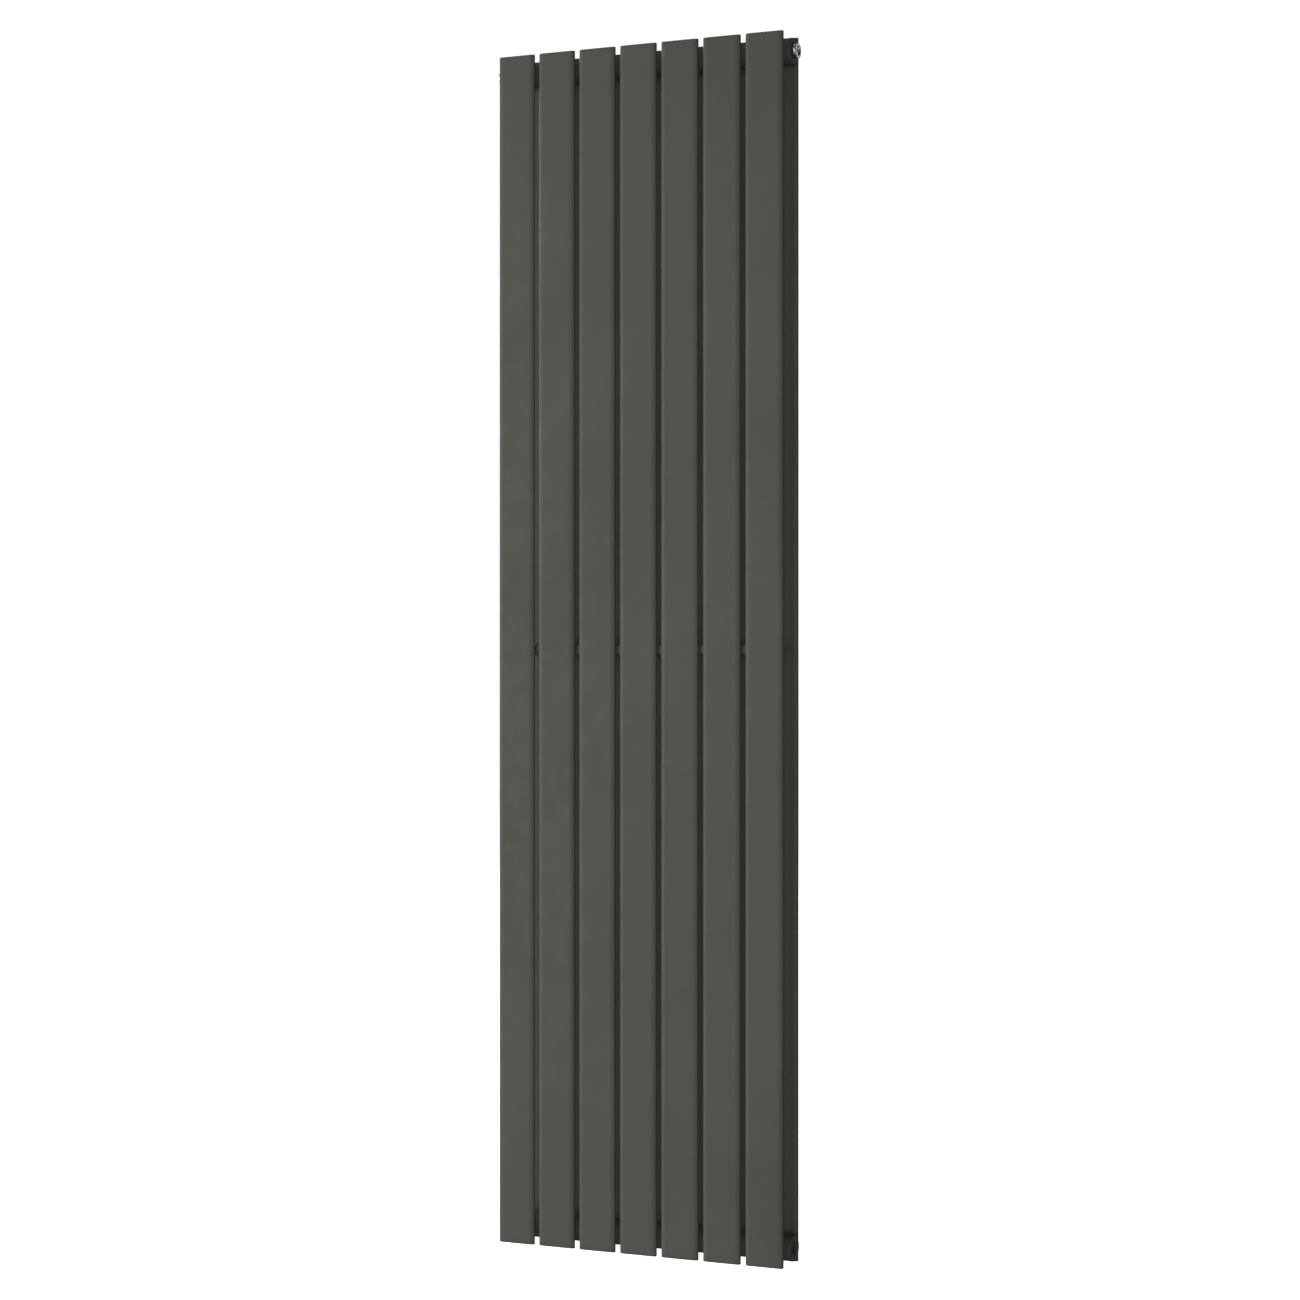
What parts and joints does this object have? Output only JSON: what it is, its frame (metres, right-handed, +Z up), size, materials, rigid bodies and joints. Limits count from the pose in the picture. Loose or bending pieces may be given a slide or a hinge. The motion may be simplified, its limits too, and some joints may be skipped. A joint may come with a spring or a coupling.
{
  "type": "wall-hung column radiator",
  "caption": "Tall wall-hung steel radiator with two rows of flat-oval upright tubes on round headers, chrome air vent and blanking plug, and open threaded ports at the bottom.",
  "frame": {"origin": "centre of the four wall fixing holes, on the wall side of the hanging lugs, at half the radiator's height", "axes": "+Z up along the tubes, +Y out of the back towards the wall, +X to the right of someone facing the radiator"},
  "size_m": [0.4904, 0.08, 1.8],
  "materials": {
    "powder_coat": "satin anthracite-green powder coat with a fine texture",
    "chrome": "polished chrome plate",
    "nickel_brass": "nickel-plated brass, turned",
    "seal_rubber": "matt black rubber",
    "bare_steel": "plain sheet steel, inside the header"
  },
  "bodies": {
    "radiator": {"blanking_plug": "chrome", "flow_diverter": "bare_steel", "front_bottom_cap_1": "powder_coat", "front_bottom_cap_2": "powder_coat", "front_bottom_cap_3": "powder_coat", "front_bottom_cap_4": "powder_coat", "front_bottom_cap_5": "powder_coat", "front_bottom_cap_6": "powder_coat", "front_bottom_cap_7": "powder_coat", "front_top_cap_1": "powder_coat", "front_top_cap_2": "powder_coat", "front_top_cap_3": "powder_coat", "front_top_cap_4": "powder_coat", "front_top_cap_5": "powder_coat", "front_top_cap_6": "powder_coat", "front_top_cap_7": "powder_coat", "front_tube_1": "powder_coat", "front_tube_2": "powder_coat", "front_tube_3": "powder_coat", "front_tube_4": "powder_coat", "front_tube_5": "powder_coat", "front_tube_6": "powder_coat", "front_tube_7": "powder_coat", "hanging_lugs": "powder_coat", "header_bottom": "powder_coat", "header_top": "powder_coat", "nipples_bottom": "powder_coat", "nipples_top": "powder_coat", "plug_seal": "seal_rubber", "rear_bottom_cap_1": "powder_coat", "rear_bottom_cap_2": "powder_coat", "rear_bottom_cap_3": "powder_coat", "rear_bottom_cap_4": "powder_coat", "rear_bottom_cap_5": "powder_coat", "rear_bottom_cap_6": "powder_coat", "rear_bottom_cap_7": "powder_coat", "rear_top_cap_1": "powder_coat", "rear_top_cap_2": "powder_coat", "rear_top_cap_3": "powder_coat", "rear_top_cap_4": "powder_coat", "rear_top_cap_5": "powder_coat", "rear_top_cap_6": "powder_coat", "rear_top_cap_7": "powder_coat", "rear_tube_1": "powder_coat", "rear_tube_2": "powder_coat", "rear_tube_3": "powder_coat", "rear_tube_4": "powder_coat", "rear_tube_5": "powder_coat", "rear_tube_6": "powder_coat", "rear_tube_7": "powder_coat", "socket_bottom_left": "powder_coat", "socket_bottom_right": "powder_coat", "socket_top_left": "powder_coat", "socket_top_right": "powder_coat", "spacer_bar": "powder_coat", "vent_body": "chrome", "vent_seal": "seal_rubber"},
    "bleed_screw": {"bleed_screw": "nickel_brass"}
  },
  "joints": [
    {"name": "bleed_screw_turn", "type": "hinge", "parent": "radiator", "child": "bleed_screw", "pos_m": [0.2403, -0.0475, 0.875], "axis": [1, 0, 0], "range_deg": [0, 450]}
  ]
}
